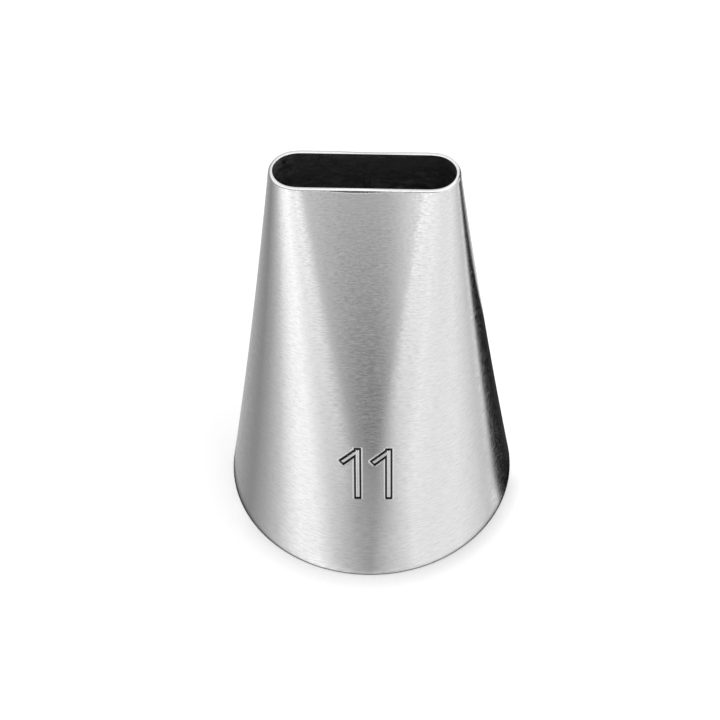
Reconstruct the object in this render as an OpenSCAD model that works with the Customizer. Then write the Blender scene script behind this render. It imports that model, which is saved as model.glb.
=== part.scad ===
// Flat-mouth piping nozzle, rolled from one sheet of steel and welded along the back.
// It stands on its round base, mouth upwards. X runs along the mouth, -Y is the front.

/* [Base] */
// Outside diameter of the round base
base_d = 18; // [15:0.5:24]
// Height from the base to the mouth
height = 27; // [20:0.5:40]

/* [Mouth] */
// Outside width of the flat mouth
mouth_w = 11; // [8:0.25:13]
// Outside depth of the flat mouth
mouth_depth = 3.1; // [2:0.1:5]
// How far the front and back walls bow inwards, halfway up
wall_bow = 0.25; // [0:0.05:0.6]

/* [Sheet] */
// Thickness of the sheet, measured level
sheet = 0.25; // [0.2:0.01:0.4]
// Chamfer that takes the sharp edge off the base and the mouth
edge_chamfer = 0.04; // [0.02:0.01:0.07]

/* [Weld] */
// Width of the weld that closes the sheet at the back
weld_w = 0.4; // [0.2:0.05:0.8]
// How far the weld's root stands out inside
weld_root = 0.1; // [0.02:0.01:0.2]
// Length below the mouth over which the root is ground away, so that the rim is flush
weld_dressed = 4; // [1:0.5:8]

/* [Hidden] */

base_r = base_d / 2;
mouth_r = mouth_depth / 2;
mouth_flat = mouth_w / 2 - mouth_r;
weld_half = weld_w / 2;

// Share of the change from base to mouth that is added halfway up, times 4
bow_share = 4 * wall_bow / (base_r - mouth_r);

// Steps up the wall, round each rounded end, and across the weld
wall_steps = 9;
end_steps = 32;
weld_steps = 6;
// Angle that each rounded end stops short of the front and back at the base
end_gap = 90 / (end_steps + 1);

// Change from the round base (0) to the flat mouth (1) at a height, between the chamfers
function change_at(z) =
    let (t = (z - edge_chamfer) / (height - 2 * edge_chamfer))
    t + bow_share * t * (1 - t);
// Radius of the rounded ends at a height and a depth into the sheet
function end_r(z, depth) = base_r + (mouth_r - base_r) * change_at(z) - depth;
// Half of the straight run between the rounded ends at a height
function half_flat(z) = mouth_flat * change_at(z);

// Back of the outline at x, on the straight run or on the rounded end
function back_y(x, z, depth) =
    let (past = max(0, abs(x) - half_flat(z)))
    sqrt(pow(end_r(z, depth), 2) - past * past);

// One face of the sheet from base to mouth, as [depth, height], with its two chamfers
function face_up(face_depth, chamfer_depth) = concat(
    [[chamfer_depth, 0], [face_depth, edge_chamfer]],
    [for (i = [1 : wall_steps - 1]) [face_depth, height * i / wall_steps]],
    [[face_depth, height - edge_chamfer], [chamfer_depth, height]]);

outer_face = face_up(0, edge_chamfer);
inner_face = face_up(sheet, sheet - edge_chamfer);
face_n = len(outer_face);
// Outline of the sheet's section: up the outside and down the inside
section = concat(outer_face, [for (i = [face_n - 1 : -1 : 0]) inner_face[i]]);
section_n = len(section);

// Point of the rounded end on one side, step k from the back to the front
function end_point(side, k, z, depth) =
    let (
        gap = end_gap * (1 - z / height),
        angle = 90 - gap - k * (180 - 2 * gap) / end_steps,
        r = end_r(z, depth)
    )
    [side * (half_flat(z) + r * cos(angle)), r * sin(angle), z];

// Stations round the shell: weld, right end, front, left end, weld
station_n = 2 * end_steps + 5;
front_station = end_steps + 2;
function shell_point(station, z, depth) =
    station == 0 ? [weld_half, back_y(weld_half, z, depth), z] :
    station < front_station ? end_point(1, station - 1, z, depth) :
    station == front_station ? [0, -end_r(z, depth), z] :
    station < station_n - 1 ?
        end_point(-1, station_n - 2 - station, z, depth) :
    [-weld_half, back_y(weld_half, z, depth), z];

// Point across the weld: flush outside, a raised root inside that dies out at the mouth
function weld_point(k, i) =
    let (
        x = -weld_half + k * weld_w / weld_steps,
        depth = section[i][0],
        z = section[i][1],
        inside = depth == sheet ? 1 : 0,
        kept = pow(min(1, (height - z) / weld_dressed), 2),
        root = inside * kept * weld_root * (1 - pow(x / weld_half, 2))
    )
    [x, back_y(x, z, depth) - root, z];

// Closed solid through sections that all have section_n points, as triangles
module swept(points, count) {
    function at(j, i) = j * section_n + i % section_n;
    sides = [for (j = [0 : count - 2], i = [0 : section_n - 1])
        each [
            [at(j, i), at(j + 1, i + 1), at(j, i + 1)],
            [at(j, i), at(j + 1, i), at(j + 1, i + 1)]
        ]];
    // An end of the sheet is a strip between its two faces
    function strip(j) = [for (i = [0 : face_n - 2])
        each [
            [at(j, i), at(j, i + 1), at(j, section_n - 2 - i)],
            [at(j, i), at(j, section_n - 2 - i), at(j, section_n - 1 - i)]
        ]];
    last_end = [for (f = strip(count - 1)) [f[0], f[2], f[1]]];
    polyhedron(points, concat(sides, strip(0), last_end));
}

module nozzle_shell() {
    color("silver")
        swept(
            [for (j = [0 : station_n - 1], p = section) shell_point(j, p[1], p[0])],
            station_n);
}

module seam_weld() {
    color("gray")
        swept(
            [for (k = [0 : weld_steps], i = [0 : section_n - 1]) weld_point(k, i)],
            weld_steps + 1);
}

nozzle_shell();
seam_weld();
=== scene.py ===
import math

import bmesh
import bpy
from mathutils import Matrix, Vector


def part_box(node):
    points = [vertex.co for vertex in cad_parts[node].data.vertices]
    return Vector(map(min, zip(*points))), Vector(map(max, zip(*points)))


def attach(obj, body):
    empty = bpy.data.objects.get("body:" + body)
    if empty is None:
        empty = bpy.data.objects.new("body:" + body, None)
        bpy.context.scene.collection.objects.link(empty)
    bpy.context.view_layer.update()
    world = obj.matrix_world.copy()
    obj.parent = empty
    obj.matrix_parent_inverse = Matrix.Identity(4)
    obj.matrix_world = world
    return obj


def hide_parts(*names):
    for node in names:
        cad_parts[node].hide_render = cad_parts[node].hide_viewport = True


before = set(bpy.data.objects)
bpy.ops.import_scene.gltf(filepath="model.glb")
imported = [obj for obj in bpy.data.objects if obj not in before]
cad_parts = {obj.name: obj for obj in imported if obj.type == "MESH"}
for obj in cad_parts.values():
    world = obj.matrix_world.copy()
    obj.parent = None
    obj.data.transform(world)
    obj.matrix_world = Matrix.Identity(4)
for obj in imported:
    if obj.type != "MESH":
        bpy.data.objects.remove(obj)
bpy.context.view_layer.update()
mm = 0.001
tiny = 0.001 * mm  # a length under this counts as none
shellHigh = Vector(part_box("nozzle_shell")[1])
weldHigh = Vector(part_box("seam_weld")[1])
print("frame loaded:", sorted(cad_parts))


# Shape of the wall: round at the base, flat at the mouth

wall = {
    "baseRadius": shellHigh.x,
    "height": shellHigh.z,
    "mouthWidth": 11 * mm,
    "mouthDepth": 3.1 * mm,
    "bow": 0.25 * mm,  # how far the front and back bow inwards, halfway up
    "ease": 0.04 * mm,  # how far out the front and back stand, to run gradually into the ends
    "sheet": 0.25 * mm,
    "seamHalf": weldHigh.x,
}


def changeAt(z):
    t = z / wall["height"]
    share = 4 * wall["bow"] / (wall["baseRadius"] - wall["mouthDepth"] / 2)
    return t + share * t * (1 - t)


def outlineAt(z):
    # radius of the rounded ends and half of the straight run between them
    mouthRadius = wall["mouthDepth"] / 2
    change = changeAt(z)
    radius = wall["baseRadius"] + (mouthRadius - wall["baseRadius"]) * change
    return radius, (wall["mouthWidth"] / 2 - mouthRadius) * change


def halfWayRound(z):
    # distance round the outside from the middle of the front to the weld
    radius, flat = outlineAt(z)
    return 2 * flat + math.pi * radius - wall["seamHalf"]


def easeAt(past, radius, flat):
    # how far out the wall stands at a distance past the straight run, on to the rounded end;
    # the curve tightens evenly over reach on both sides, which gives the factors 6 and 12
    reach = min(flat, math.sqrt(6 * radius * wall["ease"]))
    if past >= reach:
        return 0
    if past > 0:
        return (reach - past) ** 3 / (12 * reach * radius)
    rest = max(0, past + reach) ** 3 / (12 * reach * radius)
    return reach ** 2 / (6 * radius) - rest


def runPoint(run, z, depth):
    # place at a distance round the outside from the middle of the front
    radius, flat = outlineAt(z)
    side = math.copysign(1, run)
    past = min(abs(run) - flat, flat + math.pi * radius - abs(run))
    out = radius - depth + easeAt(past, radius, flat)
    turn = (abs(run) - flat) / radius
    if turn < 0:
        return Vector((run, -out, z))
    if turn < math.pi:
        return Vector((side * (flat + out * math.sin(turn)), -out * math.cos(turn), z))
    pastEnd = (turn - math.pi) * radius
    return Vector((side * (flat - pastEnd), out, z))


# Number pressed into the front: the mouth's width in millimetres, in outline

number = {
    "middleHeight": 7.55 * mm,
    "digitHeight": 3.7 * mm,
    "stroke": 0.33 * mm,
    "digitStep": 1.9 * mm,  # from one stem to the next
    "flagReach": 0.95 * mm,
    "flagDrop": 0.85 * mm,
    "flagLeft": 0.2,  # how far left of the stem's middle the flag starts, in half strokes
    "flagBelow": 1.2,  # and how far below its top
    "grooveHalf": 0.09 * mm,
    "grooveDepth": 0.05 * mm,
    # painted shade in the grooves: their colour falls to this share of the tone
    "grooveShadeShare": 0.03,
    "grooveShadeRange": (0.02, 0.4),  # how far a point is pressed in where it starts to darken and is darkest
    "burrHeight": 0.012 * mm,
    "burrReach": 1.65,  # outer edge of the raised lip, in half groove widths
    "margin": 0.2 * mm,
    "grid": 0.022 * mm,
}


def barDistance(point, start, end, halfWidth):
    # distance to a straight bar with square ends, negative inside it
    along = (end - start).normalized()
    across = Vector((-along.y, along.x))
    offset = point - (start + end) / 2
    outX = abs(offset.dot(along)) - (end - start).length / 2
    outY = abs(offset.dot(across)) - halfWidth
    outside = Vector((max(outX, 0), max(outY, 0))).length
    return outside + min(max(outX, outY), 0)


def oneDistance(point):
    half = number["stroke"] / 2
    top = number["digitHeight"] / 2
    stem = barDistance(point, Vector((0, -top)), Vector((0, top)), half)
    flagTop = Vector((-half * number["flagLeft"], top - half * number["flagBelow"]))
    flagEnd = flagTop - Vector((number["flagReach"], number["flagDrop"]))
    flag = barDistance(point, flagEnd, flagTop, half)
    flag = max(flag, point.y - top)
    return min(stem, flag)


def numberPress(run, rise):
    # 1 in the bottom of a groove, below 0 on its raised lips, 0 elsewhere
    shift = number["flagReach"] / 2
    step = number["digitStep"] / 2
    distance = min(
        oneDistance(Vector((run - shift + step, rise))),
        oneDistance(Vector((run - shift - step, rise))))
    gap = abs(distance) / number["grooveHalf"]
    if gap < 1:
        return math.cos(gap * math.pi / 2) ** 2
    if gap < number["burrReach"]:
        return -math.sin((gap - 1) / (number["burrReach"] - 1) * math.pi) ** 2
    return 0


# Shell: a tube's section spun round, then pressed to the nozzle's shape

shell = {
    "turn": 170,  # degrees each way from the front, while it is still a tube
    "frontTurn": 55,  # of these, the degrees that get the narrower front columns
    "frontColumns": 45,
    "sideColumns": 38,
    "rowsBelow": 10,
    "rowsAbove": 30,
    "innerRows": 24,
    "baseRound": 0.10 * mm,
    "mouthRound": 0.15 * mm,
    "innerRound": 0.04 * mm,
    # the mouth is rounded off unevenly: most near the middle and the ends, least between them
    "mouthMiddle": -0.4 * mm,
    "mouthPeriod": 6.29 * mm,
    "mouthLeast": 0.25,
    "roundSegments": 5,
    "supportStep": 0.04 * mm,  # from a rounded edge to the row that keeps it crisp
    "slack": 0.01,  # share by which a test for a rounded edge reaches beyond it
    "outerSkin": 0.01 * mm,  # a point less deep than this is on the outside
}


def evenSteps(low, high, count):
    return [low + (high - low) * step / count for step in range(count + 1)]


def cutRows(bm, radius, heights):
    # cut the straight side of the section at each height
    for height in heights:
        edges = [edge for edge in bm.edges if all(abs(vert.co.x - radius) < tiny for vert in edge.verts)]
        verts = list({vert for edge in edges for vert in edge.verts})
        bmesh.ops.bisect_plane(
            bm, geom=verts + edges, dist=tiny / 10,
            plane_co=(0, 0, height), plane_no=(0, 0, 1))


def tubeSection(bm, outerRows, innerRows):
    # section of the sheet standing at the outer radius, edges rounded, cut into rows
    outer = wall["baseRadius"]
    inner = outer - wall["sheet"]
    top = wall["height"]
    corners = ((outer, 0), (outer, top), (inner, top), (inner, 0))
    verts = [bm.verts.new((radius, 0, z)) for radius, z in corners]
    for index, vert in enumerate(verts):
        bm.edges.new((vert, verts[(index + 1) % len(verts)]))
    for corner, reach in zip(verts, ("baseRound", "mouthRound", "innerRound", "innerRound")):
        bmesh.ops.bevel(
            bm, geom=[corner], offset=shell[reach], affect="VERTICES",
            segments=shell["roundSegments"], profile=0.5, material=-1)
    cutRows(bm, outer, outerRows)
    cutRows(bm, inner, innerRows)


def spinOn(bm, geometry, degrees, steps):
    result = bmesh.ops.spin(
        bm, geom=geometry, cent=(0, 0, 0), axis=(0, 0, 1),
        angle=math.radians(degrees), steps=steps, use_merge=False)
    return result["geom_last"]


def makeShell():
    bm = bmesh.new()
    lean = math.atan2(wall["baseRadius"] - wall["mouthDepth"] / 2, wall["height"])
    rise = (number["digitHeight"] / 2 + number["margin"]) * math.cos(lean)
    numberLow = number["middleHeight"] - rise
    numberHigh = number["middleHeight"] + rise
    low = shell["baseRound"] + shell["supportStep"]
    high = wall["height"] - shell["mouthRound"] - shell["supportStep"]
    rows = evenSteps(low, numberLow, shell["rowsBelow"])
    rows += evenSteps(numberLow, numberHigh, round(2 * rise / number["grid"]))[1:]
    rows += evenSteps(numberHigh, high, shell["rowsAbove"])[1:]
    tubeSection(bm, rows, evenSteps(low, high, shell["innerRows"]))
    reach = (number["digitStep"] + number["flagReach"] + number["stroke"]) / 2 + number["margin"]
    numberTurn = shell["turn"] * reach / halfWayRound(numberHigh)
    bmesh.ops.rotate(
        bm, verts=bm.verts[:], cent=(0, 0, 0),
        matrix=Matrix.Rotation(math.radians(-90 - shell["turn"]), 3, "Z"))
    firstEnd = bm.edges[:]
    ring = bm.verts[:] + bm.edges[:]
    side = (shell["turn"] - shell["frontTurn"], shell["sideColumns"])
    front = (shell["frontTurn"] - numberTurn, shell["frontColumns"])
    middle = (2 * numberTurn, round(2 * reach / number["grid"]))
    for degrees, columns in (side, front, middle, front, side):
        ring = spinOn(bm, ring, degrees, columns)
    closeEnds(bm, firstEnd, ring)
    pressShell(bm, lean)
    return bm


def closeEnds(bm, firstEnd, ring):
    # a crisp flat face over each open end of what was spun
    lastEnd = [item for item in ring if isinstance(item, bmesh.types.BMEdge)]
    for end in (firstEnd, lastEnd):
        bmesh.ops.contextual_create(bm, geom=end)
        for edge in end:
            edge.smooth = False
    bmesh.ops.recalc_face_normals(bm, faces=bm.faces[:])


def finishFace(face, lowest, shallowest):
    # outside, inside or rim, by the face's lowest and shallowest place in the sheet
    face.smooth = True
    more = 1 + shell["slack"]
    atMouth = lowest > wall["height"] - shell["mouthRound"] * more
    if atMouth and shallowest < wall["sheet"] * (1 - shell["slack"]):
        face.material_index = 2
    elif shallowest > wall["sheet"] - shell["innerRound"] * more:
        face.material_index = 1


def mouthKept(run):
    # share of the mouth's full rounding at a distance round from the middle of the front
    wave = (1 + math.cos((run - shell["mouthMiddle"]) / shell["mouthPeriod"] * math.tau)) / 2
    return shell["mouthLeast"] + (1 - shell["mouthLeast"]) * wave ** 2


def pressShell(bm, lean):
    # turn the tube into the nozzle, and note what each face and point is
    wrap = bm.loops.layers.uv.new("wrap")
    press = bm.verts.layers.float.new("press")
    top = wall["height"]
    rounded = shell["mouthRound"] * (1 + shell["slack"])
    place = {}
    for vert in bm.verts:
        depth = wall["baseRadius"] - math.hypot(vert.co.x, vert.co.y)
        share = math.degrees(math.atan2(vert.co.x, -vert.co.y)) / shell["turn"]
        z = vert.co.z
        place[vert] = (share, z, depth)
        run = share * halfWayRound(z)
        if top - z < rounded and depth < rounded:
            kept = mouthKept(run)
            z = top - (top - z) * kept
            depth *= kept
        if depth < shell["outerSkin"]:
            vert[press] = numberPress(run, (z - number["middleHeight"]) / math.cos(lean))
            sink = number["grooveDepth"] if vert[press] > 0 else number["burrHeight"]
            depth += sink * vert[press]
        vert.co = runPoint(run, z, depth)
    for face in bm.faces:
        places = [place[vert] for vert in face.verts]
        for loop, (share, z, depth) in zip(face.loops, places):
            loop[wrap].uv = (0.5 + share / 2, z / top)
        lowest = min(z for share, z, depth in places)
        finishFace(face, lowest, min(depth for share, z, depth in places))


# Weld along the back: ground flush outside, a low rippled root inside

weld = {
    "columns": 10,
    "rows": 320,
    "root": 0.1 * mm,
    "dressed": 4 * mm,  # length below the mouth over which the root is ground away
    "pitch": 0.34 * mm,  # from one ripple to the next
    "bend": 0.22 * mm,  # how far a ripple's middle runs ahead of its ends
    "outerRipple": 0.004 * mm,
    "outerStart": 4,  # how many times sooner than the root the outer ripples are at full height
    "innerRipple": 0.015 * mm,
}


def makeWeld():
    bm = bmesh.new()
    low = shell["baseRound"] + shell["supportStep"]
    high = wall["height"] - shell["mouthRound"] - shell["supportStep"]
    rows = evenSteps(low, high, weld["rows"])
    tubeSection(bm, rows, rows)
    # spun over one degree, which is then spread over the weld's width
    firstEnd = bm.edges[:]
    ring = spinOn(bm, bm.verts[:] + bm.edges[:], 1, weld["columns"])
    closeEnds(bm, firstEnd, ring)
    wrap = bm.loops.layers.uv.new("wrap")
    place = {}
    for vert in bm.verts:
        depth = wall["baseRadius"] - math.hypot(vert.co.x, vert.co.y)
        across = math.degrees(math.atan2(vert.co.y, vert.co.x)) * 2 - 1
        place[vert] = (across, vert.co.z, depth)
        vert.co = weldPoint(across, vert.co.z, depth)
    for face in bm.faces:
        places = [place[vert] for vert in face.verts]
        for loop, (across, z, depth) in zip(face.loops, places):
            loop[wrap].uv = (0.5 + across * wall["seamHalf"] / halfWayRound(z) / 2, z / wall["height"])
        lowest = min(z for across, z, depth in places)
        finishFace(face, lowest, min(depth for across, z, depth in places))
    return bm


def weldPoint(across, z, depth):
    # across runs from -1 to 1 over the weld's width
    radius, flat = outlineAt(z)
    crown = 1 - across * across
    ripple = (1 - math.cos((z - weld["bend"] * crown) / weld["pitch"] * math.tau)) / 2 * crown
    fromEnds = min(z, wall["height"] - z) / weld["dressed"]
    if depth < tiny:
        depth += weld["outerRipple"] * ripple * min(1, fromEnds * weld["outerStart"])
    inside = depth > wall["sheet"] - tiny
    x = -across * wall["seamHalf"]
    out = radius - depth + easeAt(abs(x) - flat, radius, flat)
    y = math.sqrt(out ** 2 - max(0, abs(x) - flat) ** 2)
    if inside:
        kept = min(1, (wall["height"] - z) / weld["dressed"]) ** 2
        y -= (weld["root"] * crown - weld["innerRipple"] * ripple) * kept
    return Vector((x, y, z))


def finishMesh(bm, name, materials):
    mesh = bpy.data.meshes.new(name)
    bm.to_mesh(mesh)
    bm.free()
    piece = bpy.data.objects.new(name, mesh)
    bpy.context.collection.objects.link(piece)
    for material in materials:
        mesh.materials.append(material)
    return piece


# Node helpers

def feed(socket, value):
    # link another node's output, or set a plain value
    if isinstance(value, bpy.types.NodeSocket):
        socket.node.id_data.links.new(value, socket)
    else:
        socket.default_value = value


def mathNode(nodes, operation, *values, clamp=False):
    node = nodes.new("ShaderNodeMath")
    node.operation = operation
    node.use_clamp = clamp
    for index, value in enumerate(values):
        feed(node.inputs[index], value)
    return node.outputs[0]


def rangeNode(nodes, value, low, high, toLow=0.0, toHigh=1.0, smooth=False):
    node = nodes.new("ShaderNodeMapRange")
    node.interpolation_type = "SMOOTHSTEP" if smooth else "LINEAR"
    feed(node.inputs["Value"], value)
    feed(node.inputs["From Min"], low)
    feed(node.inputs["From Max"], high)
    feed(node.inputs["To Min"], toLow)
    feed(node.inputs["To Max"], toHigh)
    return node.outputs["Result"]


def mixNode(nodes, factor, first, second):
    node = nodes.new("ShaderNodeMix")
    node.data_type = "FLOAT"
    feed(node.inputs["Factor"], factor)
    feed(node.inputs[2], first)
    feed(node.inputs[3], second)
    return node.outputs[0]


def noiseNode(nodes, vector, detail, roughness):
    node = nodes.new("ShaderNodeTexNoise")
    feed(node.inputs["Vector"], vector)
    feed(node.inputs["Scale"], 1.0)
    feed(node.inputs["Detail"], detail)
    feed(node.inputs["Roughness"], roughness)
    return node.outputs["Fac"]


def newGroup(name, inputs, outputs):
    tree = bpy.data.node_groups.new(name, "ShaderNodeTree")
    for label, kind in inputs:
        tree.interface.new_socket(name=label, in_out="INPUT", socket_type="NodeSocket" + kind)
    for label in outputs:
        tree.interface.new_socket(name=label, in_out="OUTPUT", socket_type="NodeSocketFloat")
    entry = tree.nodes.new("NodeGroupInput")
    result = tree.nodes.new("NodeGroupOutput")
    return tree, tree.nodes, entry.outputs, result.inputs


def placeGroup(nodes, tree, **values):
    node = nodes.new("ShaderNodeGroup")
    node.node_tree = tree
    for label, value in values.items():
        feed(node.inputs[label], value)
    return node.outputs


def newMaterial(name):
    material = bpy.data.materials.new(name)
    material.use_nodes = True
    nodes = material.node_tree.nodes
    nodes.clear()
    output = nodes.new("ShaderNodeOutputMaterial")
    shader = nodes.new("ShaderNodeBsdfPrincipled")
    feed(output.inputs["Surface"], shader.outputs["BSDF"])
    return material, nodes, shader


# Shared effects: the brushing, and slow changes of tone

brush = {
    "stretches": (1.0, 0.3),  # of the fine streaks and the broad ones
    "shares": (0.85, 0.15),
    "apart": 7,  # keeps the two in different parts of the noise
    "detail": 2.0,
    "roughness": 0.6,
    "range": (0.36, 0.64),  # of the noise, spread over 0 to 1
    "mottleAround": 40.0,
    "mottleUp": 34.0,
    "mottleDetail": 3.0,
    "mottleRoughness": 0.7,
    "mottleRange": (0.3, 0.7),
    "gloss": (1.5, 0.6),  # roughness in the dark and the light streaks, as a share of the steel's
    "bumpHeight": 0.001 * mm,
    "bumpStrength": 0.4,
    "turn": 0.25,  # a quarter turn, so that level streaks blur what is seen in them upwards
}


def makeBrushing():
    # streaks round the nozzle, and mottling; Wrap runs once round and once up
    tree, nodes, given, result = newGroup(
        "brushing",
        [("Wrap", "Vector"), ("Around", "Float"), ("Up", "Float")],
        ["Streaks", "Mottle"])
    split = nodes.new("ShaderNodeSeparateXYZ")
    feed(split.inputs[0], given["Wrap"])
    layers = []
    for stretch in brush["stretches"]:
        joined = nodes.new("ShaderNodeCombineXYZ")
        around = mathNode(nodes, "MULTIPLY", split.outputs["X"], given["Around"])
        up = mathNode(nodes, "MULTIPLY", split.outputs["Y"], given["Up"])
        feed(joined.inputs["X"], mathNode(nodes, "MULTIPLY", around, stretch))
        feed(joined.inputs["Y"], mathNode(nodes, "MULTIPLY", up, stretch))
        joined.inputs["Z"].default_value = stretch * brush["apart"]
        layers.append(noiseNode(nodes, joined.outputs[0], brush["detail"], brush["roughness"]))
    fineShare, broadShare = brush["shares"]
    fine = mathNode(nodes, "MULTIPLY", layers[0], fineShare)
    both = mathNode(nodes, "MULTIPLY_ADD", layers[1], broadShare, fine)
    feed(result["Streaks"], rangeNode(nodes, both, *brush["range"]))
    joined = nodes.new("ShaderNodeCombineXYZ")
    feed(joined.inputs["X"], mathNode(nodes, "MULTIPLY", split.outputs["X"], brush["mottleAround"]))
    feed(joined.inputs["Y"], mathNode(nodes, "MULTIPLY", split.outputs["Y"], brush["mottleUp"]))
    mottle = noiseNode(nodes, joined.outputs[0], brush["mottleDetail"], brush["mottleRoughness"])
    feed(result["Mottle"], rangeNode(nodes, mottle, *brush["mottleRange"]))
    return tree


brushing = makeBrushing()

steelLooks = {
    "outer": {
        "tone": 0.80, "rough": 0.16, "lined": 0.9,
        "streak": 0.05, "mottle": 0.02, "around": 95.0, "up": 260.0},
    # the inside's tone is half the outside's: painted shade in the hollow as well as its duller finish
    "inner": {
        "tone": 0.40, "rough": 0.50, "lined": 0.0,
        "streak": 0.20, "mottle": 0.20, "around": 30.0, "up": 60.0},
    "rim": {
        "tone": 0.82, "rough": 0.22, "lined": 0.0,
        "streak": 0.04, "mottle": 0.04, "around": 90.0, "up": 60.0},
    "weld": {
        "tone": 0.66, "rough": 0.25, "lined": 0.6,
        "streak": 0.10, "mottle": 0.12, "around": 90.0, "up": 240.0},
}


def wrapVector(nodes):
    node = nodes.new("ShaderNodeUVMap")
    node.uv_map = "wrap"
    return node.outputs[0]


def steel(name):
    # steel with level brushing: its tone and gloss follow the streaks
    look = steelLooks[name]
    material, nodes, shader = newMaterial(name + "Steel")
    marks = placeGroup(nodes, brushing, Wrap=wrapVector(nodes), Around=look["around"], Up=look["up"])
    darkest = look["tone"] * (1 - look["streak"])
    lightest = look["tone"] * (1 + look["streak"])
    streaked = rangeNode(nodes, marks["Streaks"], 0.0, 1.0, darkest, lightest)
    mottled = rangeNode(nodes, marks["Mottle"], 0.0, 1.0, 1 - look["mottle"], 1 + look["mottle"])
    toned = mathNode(nodes, "MULTIPLY", streaked, mottled)
    dull, bright = brush["gloss"]
    rough = rangeNode(nodes, marks["Streaks"], 0.0, 1.0, look["rough"] * dull, look["rough"] * bright)
    feed(shader.inputs["Roughness"], rough)
    shader.inputs["Metallic"].default_value = 1
    shader.inputs["Anisotropic"].default_value = look["lined"]
    shader.inputs["Anisotropic Rotation"].default_value = brush["turn"]
    tangent = nodes.new("ShaderNodeTangent")
    tangent.direction_type = "UV_MAP"
    tangent.uv_map = "wrap"
    feed(shader.inputs["Tangent"], tangent.outputs["Tangent"])
    bump = nodes.new("ShaderNodeBump")
    bump.inputs["Distance"].default_value = brush["bumpHeight"]
    bump.inputs["Strength"].default_value = brush["bumpStrength"]
    feed(bump.inputs["Height"], marks["Streaks"])
    feed(shader.inputs["Normal"], bump.outputs["Normal"])
    return material, nodes, shader, toned


def greyColour(nodes, value):
    node = nodes.new("ShaderNodeCombineColor")
    for channel in ("Red", "Green", "Blue"):
        feed(node.inputs[channel], value)
    return node.outputs[0]


def outerSteel():
    # painted shade darkens the number's grooves and a painted highlight lightens its raised lips
    material, nodes, shader, toned = steel("outer")
    pressed = nodes.new("ShaderNodeAttribute")
    pressed.attribute_name = "press"
    start, full = number["grooveShadeRange"]
    groove = rangeNode(nodes, pressed.outputs["Fac"], start, full, 1.0, number["grooveShadeShare"])
    # painted highlight: the raised lips' colour is lifted towards white
    lipHighlight = rangeNode(nodes, pressed.outputs["Fac"], 0.0, -1.0)
    toned = mixNode(nodes, lipHighlight, toned, 1.0)
    dark = mathNode(nodes, "MULTIPLY", toned, groove)
    feed(shader.inputs["Base Color"], greyColour(nodes, dark))
    return material


def plainSteel(name):
    material, nodes, shader, toned = steel(name)
    feed(shader.inputs["Base Color"], greyColour(nodes, toned))
    return material


# Studio: white to the camera, with soft lights all round in the steel

studio = {
    "floorSize": 4.0,
    "floorTone": 0.9,
    "floorRough": 0.9,
    "floorGlow": 0.42,
    # painted contact shadow round the front of the base, in millimetres
    "contactEnd": 10.2,
    "contactShade": 0.17,
    "contactRight": 0.06,  # how much darker it gets per millimetre to the right
    "contactSide": (0.25, 1.8, 4.3),  # lean to the right, and where it starts and is full
    # direction in degrees from the front, towards +X, and how bright it is
    "lights": [
        (-180, 0.55), (-165, 0.63), (-144, 0.47), (-124, 0.36), (-106, 0.28), (-97, 0.36),
        (-88, 0.42), (-69, 0.68), (-60, 0.92), (-51, 1.09), (-43, 1.25), (-34, 1.47),
        (-17, 1.29), (0, 1.31), (26, 0.99), (43, 0.93), (69, 0.95), (88, 0.81),
        (106, 0.63), (115, 0.93), (119, 0.70), (121.5, 0.05), (134, 0.04), (146, 0.26),
        (165, 1.10), (180, 0.55)],
    "overhead": 1.35,
    "overheadFrom": (0.55, 0.85),  # sine of the elevation where it starts and is full
    # the dark side of the room, behind the camera, in degrees and in sines of the elevation
    "darkSide": {
        "left": -75, "right": 25, "soft": 15,
        "low": -0.06, "high": 0.96, "edge": 0.06, "shade": 0.92},
}

# Painted shades and a painted shadow on the floor that only the steel sees, in millimetres
shades = {
    "planeHalf": 150.0,
    "drop": 0.01,  # how far they lie below the floor's surface
    "base": 9.0,
    # painted shade under the nozzle, fading out just past its base
    "centreRadius": 9.05,
    "centreEnd": 9.35,
    "centreShade": 0.96,
    # dark lane in front: each side's place and softness at the base and change per mm forwards,
    # then the same two values for the least that it comes to
    "laneRight": (7.82, -0.42, 1.9, 0.004),
    "laneLeft": (-1.6, 0.146, -4.2, 0.271),
    "laneRightSoft": (6.1, -0.186, 2.6, 0.0),
    "laneLeftSoft": (8.0, -0.32, -1.2, 0.12),
    "laneTail": (22.0, 36.0, 3.0),  # where its sides start to trail off, fully do, and how strongly
    "laneNear": (0.0, 20.0, 0.76),  # starts, is full, and how dark it is there
    "laneFar": (28.0, 60.0, 0.635),
    # fan-shaped shade on both sides of the lane, fading away forwards
    "fanMiddle": 0.27,
    "fanRight": (3.6, 0.48),
    "fanLeft": (5.9, 1.38),
    "fanShade": 0.718,
    "fanBegun": (-2.0, 1.0),  # forwards of the base, where it starts and is full
    "fanEnd": 80.0,
    # painted shadow cast to the back right
    "castFrom": (7.65, 5.09),
    "castTo": (25.2, 15.4),
    "castRadius": (7.4, 4.4),
    "castSoft": 0.9,
    "castShade": 0.96,
}


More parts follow.
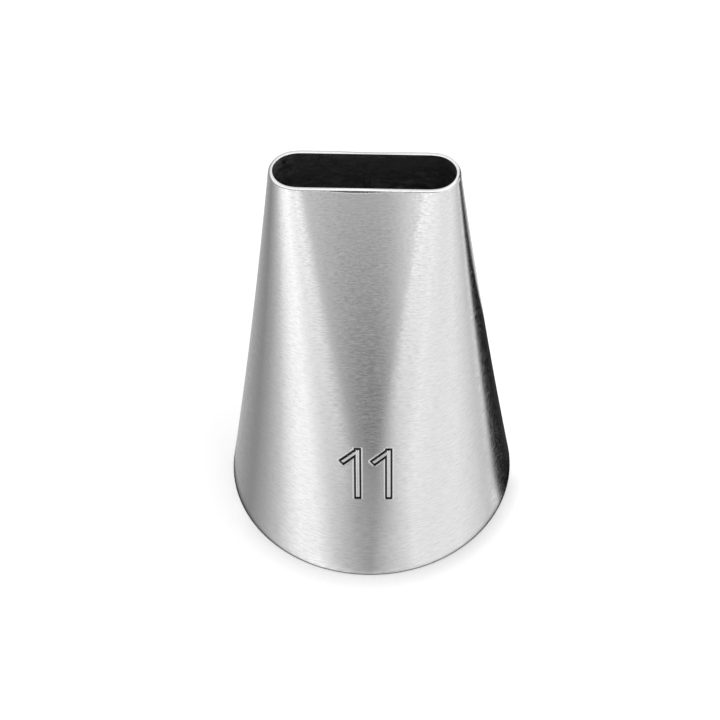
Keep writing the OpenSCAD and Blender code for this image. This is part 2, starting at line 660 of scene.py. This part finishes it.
def makeWorld():
    world = bpy.data.worlds.new("studio")
    bpy.context.scene.world = world
    world.use_nodes = True
    nodes = world.node_tree.nodes
    nodes.clear()
    output = nodes.new("ShaderNodeOutputWorld")
    background = nodes.new("ShaderNodeBackground")
    background.inputs["Color"].default_value = (1, 1, 1, 1)
    feed(output.inputs["Surface"], background.outputs[0])
    direction = nodes.new("ShaderNodeTexCoord")
    split = nodes.new("ShaderNodeSeparateXYZ")
    feed(split.inputs[0], direction.outputs["Generated"])
    front = mathNode(nodes, "MULTIPLY", split.outputs["Y"], -1.0)
    angle = mathNode(nodes, "ARCTAN2", split.outputs["X"], front)
    ramp = nodes.new("ShaderNodeValToRGB")
    feed(ramp.inputs["Fac"], mathNode(nodes, "MULTIPLY_ADD", angle, 0.5 / math.pi, 0.5))
    elements = ramp.color_ramp.elements
    for index, (degrees, bright) in enumerate(studio["lights"]):
        position = (degrees + 180) / 360
        element = elements[index] if index < 2 else elements.new(position)
        element.position = position
        element.color = (bright, bright, bright, 1)
    height = split.outputs["Z"]
    lift = rangeNode(nodes, height, *studio["overheadFrom"], smooth=True)
    bright = mixNode(nodes, lift, ramp.outputs["Color"], studio["overhead"])
    dark = studio["darkSide"]
    soft = dark["soft"]
    turned = mathNode(nodes, "MULTIPLY", angle, 180 / math.pi)
    leftSide = rangeNode(nodes, turned, dark["left"] - soft, dark["left"] + soft, smooth=True)
    rightSide = rangeNode(nodes, turned, dark["right"] + soft, dark["right"] - soft, smooth=True)
    above = rangeNode(nodes, height, dark["low"], dark["low"] + dark["edge"], smooth=True)
    below = rangeNode(nodes, height, dark["high"], dark["high"] - dark["edge"], smooth=True)
    sides = mathNode(nodes, "MULTIPLY", leftSide, rightSide)
    band = mathNode(nodes, "MULTIPLY", above, below)
    darkness = mathNode(nodes, "MULTIPLY", mathNode(nodes, "MULTIPLY", sides, band), -dark["shade"])
    shaded = mathNode(nodes, "MULTIPLY_ADD", bright, darkness, bright)
    path = nodes.new("ShaderNodeLightPath")
    feed(background.inputs["Strength"], mixNode(nodes, path.outputs["Is Camera Ray"], shaded, 1.0))


def floorPlace(nodes):
    # place on the floor, in millimetres
    coordinates = nodes.new("ShaderNodeTexCoord")
    scaled = nodes.new("ShaderNodeMapping")
    scaled.inputs["Scale"].default_value = (1 / mm, 1 / mm, 1 / mm)
    feed(scaled.inputs["Vector"], coordinates.outputs["Object"])
    split = nodes.new("ShaderNodeSeparateXYZ")
    feed(split.inputs[0], scaled.outputs[0])
    x, y = split.outputs["X"], split.outputs["Y"]
    squares = mathNode(nodes, "MULTIPLY_ADD", x, x, mathNode(nodes, "MULTIPLY", y, y))
    return x, y, mathNode(nodes, "SQRT", squares)


def makeFloor():
    bm = bmesh.new()
    bmesh.ops.create_grid(bm, x_segments=1, y_segments=1, size=studio["floorSize"] / 2)
    floor = finishMesh(bm, "floor", [])
    material, nodes, shader = newMaterial("floor")
    shader.inputs["Roughness"].default_value = studio["floorRough"]
    shader.inputs["Specular IOR Level"].default_value = 0
    x, y, away = floorPlace(nodes)
    # painted contact shadow: the floor's colour and glow darken near the front of the base, more to the
    # right
    lean, start, full = studio["contactSide"]
    towards = mathNode(nodes, "SUBTRACT", mathNode(nodes, "MULTIPLY", x, lean), y)
    near = rangeNode(nodes, away, studio["contactEnd"], wall["baseRadius"] / mm)
    deeper = mathNode(nodes, "MULTIPLY_ADD", x, studio["contactRight"], 1.0)
    depth = mathNode(nodes, "MULTIPLY", near, deeper)
    shade = mathNode(nodes, "MULTIPLY", depth, -studio["contactShade"])
    facing = rangeNode(nodes, towards, start, full, smooth=True)
    contact = mathNode(nodes, "MULTIPLY_ADD", facing, shade, 1.0)
    tone = mathNode(nodes, "MULTIPLY", contact, studio["floorTone"])
    feed(shader.inputs["Base Color"], greyColour(nodes, tone))
    path = nodes.new("ShaderNodeLightPath")
    shader.inputs["Emission Color"].default_value = (1, 1, 1, 1)
    glow = mathNode(nodes, "MULTIPLY", path.outputs["Is Camera Ray"], studio["floorGlow"])
    feed(shader.inputs["Emission Strength"], mathNode(nodes, "MULTIPLY", glow, contact))
    floor.data.materials.append(material)
    floor.visible_glossy = False


def laneSide(nodes, across, forwards, side):
    # 1 inside one side of the lane, 0 beyond it; across is measured towards that side
    widths = []
    for label in ("lane" + side, "lane" + side + "Soft"):
        start, change, least, leastChange = shades[label]
        wide = mathNode(nodes, "MULTIPLY_ADD", forwards, change, start)
        narrow = mathNode(nodes, "MULTIPLY_ADD", forwards, leastChange, least)
        widths.append(mathNode(nodes, "MAXIMUM", wide, narrow))
    edge, soft = widths
    outer = mathNode(nodes, "ADD", edge, soft)
    inner = mathNode(nodes, "SUBTRACT", edge, soft)
    return rangeNode(nodes, across, outer, inner)


def laneMask(nodes, x, forwards):
    # painted shade: a dark lane in front of the nozzle
    right = laneSide(nodes, x, forwards, "Right")
    left = laneSide(nodes, mathNode(nodes, "MULTIPLY", x, -1.0), forwards, "Left")
    nearStart, nearEnd, nearShade = shades["laneNear"]
    farStart, farEnd, farShade = shades["laneFar"]
    near = rangeNode(nodes, forwards, nearStart, nearEnd, 0.0, nearShade, smooth=True)
    far = rangeNode(nodes, forwards, farStart, farEnd, 1.0, farShade / nearShade, smooth=True)
    tailStart, tailEnd, tailPower = shades["laneTail"]
    power = rangeNode(nodes, forwards, tailStart, tailEnd, 1.0, tailPower)
    sides = mathNode(nodes, "POWER", mathNode(nodes, "MULTIPLY", right, left), power)
    return mathNode(nodes, "MULTIPLY", sides, mathNode(nodes, "MULTIPLY", near, far))


def fanMask(nodes, x, forwards):
    # painted shade fanning out on both sides of the lane
    ahead = mathNode(nodes, "MAXIMUM", forwards, 0.0)
    fromMiddle = mathNode(nodes, "SUBTRACT", x, shades["fanMiddle"])
    fades = []
    for side, sign in (("Right", -1.0), ("Left", 1.0)):
        start, spread = shades["fan" + side]
        width = mathNode(nodes, "MULTIPLY_ADD", ahead, spread, start)
        share = mathNode(nodes, "DIVIDE", fromMiddle, width)
        fades.append(mathNode(nodes, "MULTIPLY_ADD", share, sign, 1.0))
    fade = mathNode(nodes, "MINIMUM", *fades, clamp=True)
    begun = rangeNode(nodes, forwards, *shades["fanBegun"])
    shade = rangeNode(nodes, ahead, 0.0, shades["fanEnd"], shades["fanShade"], 0.0)
    return mathNode(nodes, "MULTIPLY", fade, mathNode(nodes, "MULTIPLY", begun, shade))


def castMask(nodes, x, y):
    # a painted shadow with round ends between two places on the floor
    start = Vector(shades["castFrom"])
    reach = Vector(shades["castTo"]) - start
    fromX = mathNode(nodes, "SUBTRACT", x, start.x)
    fromY = mathNode(nodes, "SUBTRACT", y, start.y)
    dot = mathNode(nodes, "MULTIPLY_ADD", fromX, reach.x, mathNode(nodes, "MULTIPLY", fromY, reach.y))
    along = mathNode(nodes, "DIVIDE", dot, reach.length_squared, clamp=True)
    restX = mathNode(nodes, "MULTIPLY_ADD", along, -reach.x, fromX)
    restY = mathNode(nodes, "MULTIPLY_ADD", along, -reach.y, fromY)
    squares = mathNode(nodes, "MULTIPLY_ADD", restX, restX, mathNode(nodes, "MULTIPLY", restY, restY))
    away = mathNode(nodes, "SQRT", squares)
    startRadius, endRadius = shades["castRadius"]
    radius = mathNode(nodes, "MULTIPLY_ADD", along, endRadius - startRadius, startRadius)
    soft = shades["castSoft"]
    inside = mathNode(nodes, "SUBTRACT", radius, away)
    return rangeNode(nodes, inside, -soft, soft, 0.0, shades["castShade"], smooth=True)


def makeShades():
    bm = bmesh.new()
    bmesh.ops.create_grid(bm, x_segments=1, y_segments=1, size=shades["planeHalf"] * mm)
    bmesh.ops.translate(bm, vec=(0, 0, -shades["drop"] * mm), verts=bm.verts[:])
    material = bpy.data.materials.new("floorShades")
    material.use_nodes = True
    nodes = material.node_tree.nodes
    nodes.clear()
    output = nodes.new("ShaderNodeOutputMaterial")
    clear = nodes.new("ShaderNodeBsdfTransparent")
    black = nodes.new("ShaderNodeEmission")
    black.inputs["Strength"].default_value = 0
    mix = nodes.new("ShaderNodeMixShader")
    x, y, away = floorPlace(nodes)
    forwards = mathNode(nodes, "SUBTRACT", -shades["base"], y)
    # painted shade under the nozzle, so the inside sees darkness
    centre = rangeNode(
        nodes, away, shades["centreEnd"], shades["centreRadius"], 0.0, shades["centreShade"], smooth=True)
    passed = 1.0
    lane = laneMask(nodes, x, forwards)
    for mask in (lane, fanMask(nodes, x, forwards), castMask(nodes, x, y), centre):
        passed = mathNode(nodes, "MULTIPLY", mathNode(nodes, "SUBTRACT", 1.0, mask), passed)
    feed(mix.inputs[0], passed)
    feed(mix.inputs[1], black.outputs[0])
    feed(mix.inputs[2], clear.outputs[0])
    feed(output.inputs["Surface"], mix.outputs[0])
    plane = finishMesh(bm, "floorShades", [material])
    plane.visible_camera = False
    plane.visible_diffuse = False
    plane.visible_transmission = False
    plane.visible_shadow = False


# Camera

camera = {
    "azimuth": 3.692,
    "elevation": 49.882,
    "distance": 154.07 * mm,
    "target": Vector((-0.563 * mm, 0, 10.309 * mm)),
    "roll": -1.656,
    "lens": 124.28,
    "sensor": 36,
    "clipStart": 10 * mm,
}


def makeCamera():
    data = bpy.data.cameras.new("camera")
    data.sensor_width = camera["sensor"]
    data.lens = camera["lens"]
    data.clip_start = camera["clipStart"]
    body = bpy.data.objects.new("camera", data)
    bpy.context.collection.objects.link(body)
    azimuth = math.radians(camera["azimuth"])
    elevation = math.radians(camera["elevation"])
    back = Vector((
        math.sin(azimuth) * math.cos(elevation),
        -math.cos(azimuth) * math.cos(elevation),
        math.sin(elevation)))
    turn = (-back).to_track_quat("-Z", "Y").to_matrix()
    turn = turn @ Matrix.Rotation(math.radians(camera["roll"]), 3, "Z")
    body.matrix_world = Matrix.Translation(camera["target"] + back * camera["distance"]) @ turn.to_4x4()
    bpy.context.scene.camera = body


makeCamera()
makeWorld()
makeFloor()
makeShades()
print("camera, world and floor made")

inside = plainSteel("inner")
rim = plainSteel("rim")
nozzle = finishMesh(makeShell(), "nozzleShell", [outerSteel(), inside, rim])
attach(nozzle, "root")
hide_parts("nozzle_shell")
print("shell made:", len(nozzle.data.polygons), "faces")

seam = finishMesh(makeWeld(), "weldBead", [plainSteel("weld"), inside, rim])
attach(seam, "root")
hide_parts("seam_weld")
print("weld made:", len(seam.data.polygons), "faces")

bpy.context.scene.view_settings.view_transform = "Standard"
